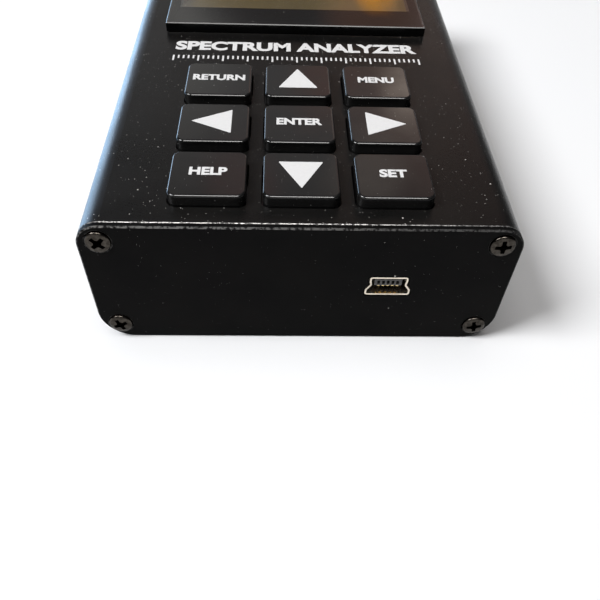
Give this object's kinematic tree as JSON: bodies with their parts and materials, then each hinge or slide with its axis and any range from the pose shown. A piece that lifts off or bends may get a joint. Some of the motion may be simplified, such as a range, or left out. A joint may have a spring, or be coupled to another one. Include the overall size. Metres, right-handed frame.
{
  "type": "handheld spectrum analyzer",
  "caption": "Handheld radio spectrum analyzer: black extruded case with a screen, a square keypad, a mini-B port at one end and an antenna connector at the other.",
  "frame": {"origin": "centre of the flat back face", "axes": "+X to the right as the user reads the keys, +Y toward the antenna connector, +Z out of the front face with the keys and the screen"},
  "size_m": [0.07, 0.1245, 0.027],
  "materials": {
    "case_finish": "black anodised, satin with a fine grain",
    "plate_finish": "flatter matte black",
    "dark_screws": "dark nickel plate",
    "key_plastic": "gloss black with a soft bevel",
    "switch_plastic": "moulded black nylon",
    "steel_sheet": "stamped tinned sheet",
    "lcd_steel": "black oxide sheet",
    "tin_plate": "tin plate",
    "window_acrylic": "clear cast acrylic, polished",
    "window_border": "black adhesive border seen through the window",
    "lcd_glass": "olive transflective screen",
    "light_guide": "white light guide",
    "board_laminate": "green solder mask",
    "chip_resin": "black moulding resin",
    "ceramic_chip": "ceramic with tinned ends",
    "white_nylon": "natural nylon",
    "receptacle_nickel": "nickel plate, slightly warm",
    "receptacle_plastic": "black moulded",
    "contact_gold": "gold flash",
    "gold_brass": "gold-plated brass",
    "ptfe": "white fluoropolymer",
    "battery_film": "laminated silver pouch film",
    "foam_pad": "closed-cell foam",
    "wire_insulation": "flexible insulation"
  },
  "bodies": {
    "case": {"front_shell": "case_finish", "back_shell": "case_finish", "bottom_end_plate": "plate_finish", "top_end_plate": "plate_finish", "bottom_plate_screws": "dark_screws", "top_plate_screws": "dark_screws", "tact_switch_bodies": "switch_plastic", "power_switch_base": "switch_plastic", "lcd_header_strip": "switch_plastic", "tact_switch_covers": "steel_sheet", "tact_switch_domes": "steel_sheet", "power_switch_cover": "steel_sheet", "rf_shield_cans": "steel_sheet", "crystal": "steel_sheet", "lcd_frame": "lcd_steel", "tact_switch_legs": "tin_plate", "lcd_header_pins": "tin_plate", "power_switch_pins": "tin_plate", "screen_window": "window_acrylic", "window_adhesive": "window_border", "lcd_panel": "lcd_glass", "lcd_backlight": "light_guide", "main_board": "board_laminate", "lcd_board": "board_laminate", "microcontroller": "chip_resin", "support_chips": "chip_resin", "small_components": "ceramic_chip", "lcd_spacers": "white_nylon", "battery_plug": "white_nylon", "battery_socket": "white_nylon", "usb_shell": "receptacle_nickel", "usb_insulator": "receptacle_plastic", "usb_contacts": "contact_gold", "sma_center_contact": "contact_gold", "sma_body": "gold_brass", "sma_nut": "gold_brass", "sma_lock_washer": "gold_brass", "sma_insulator": "ptfe", "battery_pouch": "battery_film", "battery_pad": "foam_pad", "battery_leads": "wire_insulation"},
    "return_key": {"key_return": "key_plastic", "plunger_return": "switch_plastic"},
    "up_key": {"key_up": "key_plastic", "plunger_up": "switch_plastic"},
    "menu_key": {"key_menu": "key_plastic", "plunger_menu": "switch_plastic"},
    "left_key": {"key_left": "key_plastic", "plunger_left": "switch_plastic"},
    "enter_key": {"key_enter": "key_plastic", "plunger_enter": "switch_plastic"},
    "right_key": {"key_right": "key_plastic", "plunger_right": "switch_plastic"},
    "help_key": {"key_help": "key_plastic", "plunger_help": "switch_plastic"},
    "down_key": {"key_down": "key_plastic", "plunger_down": "switch_plastic"},
    "set_key": {"key_set": "key_plastic", "plunger_set": "switch_plastic"},
    "power_slider": {"power_switch_slider": "switch_plastic"}
  },
  "joints": [
    {"name": "return_press", "type": "slide", "parent": "case", "child": "return_key", "axis": [0, 0, -1], "range_m": [0, 0.0005]},
    {"name": "up_press", "type": "slide", "parent": "case", "child": "up_key", "axis": [0, 0, -1], "range_m": [0, 0.0005]},
    {"name": "menu_press", "type": "slide", "parent": "case", "child": "menu_key", "axis": [0, 0, -1], "range_m": [0, 0.0005]},
    {"name": "left_press", "type": "slide", "parent": "case", "child": "left_key", "axis": [0, 0, -1], "range_m": [0, 0.0005]},
    {"name": "enter_press", "type": "slide", "parent": "case", "child": "enter_key", "axis": [0, 0, -1], "range_m": [0, 0.0005]},
    {"name": "right_press", "type": "slide", "parent": "case", "child": "right_key", "axis": [0, 0, -1], "range_m": [0, 0.0005]},
    {"name": "help_press", "type": "slide", "parent": "case", "child": "help_key", "axis": [0, 0, -1], "range_m": [0, 0.0005]},
    {"name": "down_press", "type": "slide", "parent": "case", "child": "down_key", "axis": [0, 0, -1], "range_m": [0, 0.0005]},
    {"name": "set_press", "type": "slide", "parent": "case", "child": "set_key", "axis": [0, 0, -1], "range_m": [0, 0.0005]},
    {"name": "power_slide", "type": "slide", "parent": "case", "child": "power_slider", "axis": [1, 0, 0], "range_m": [0, 0.002]}
  ]
}
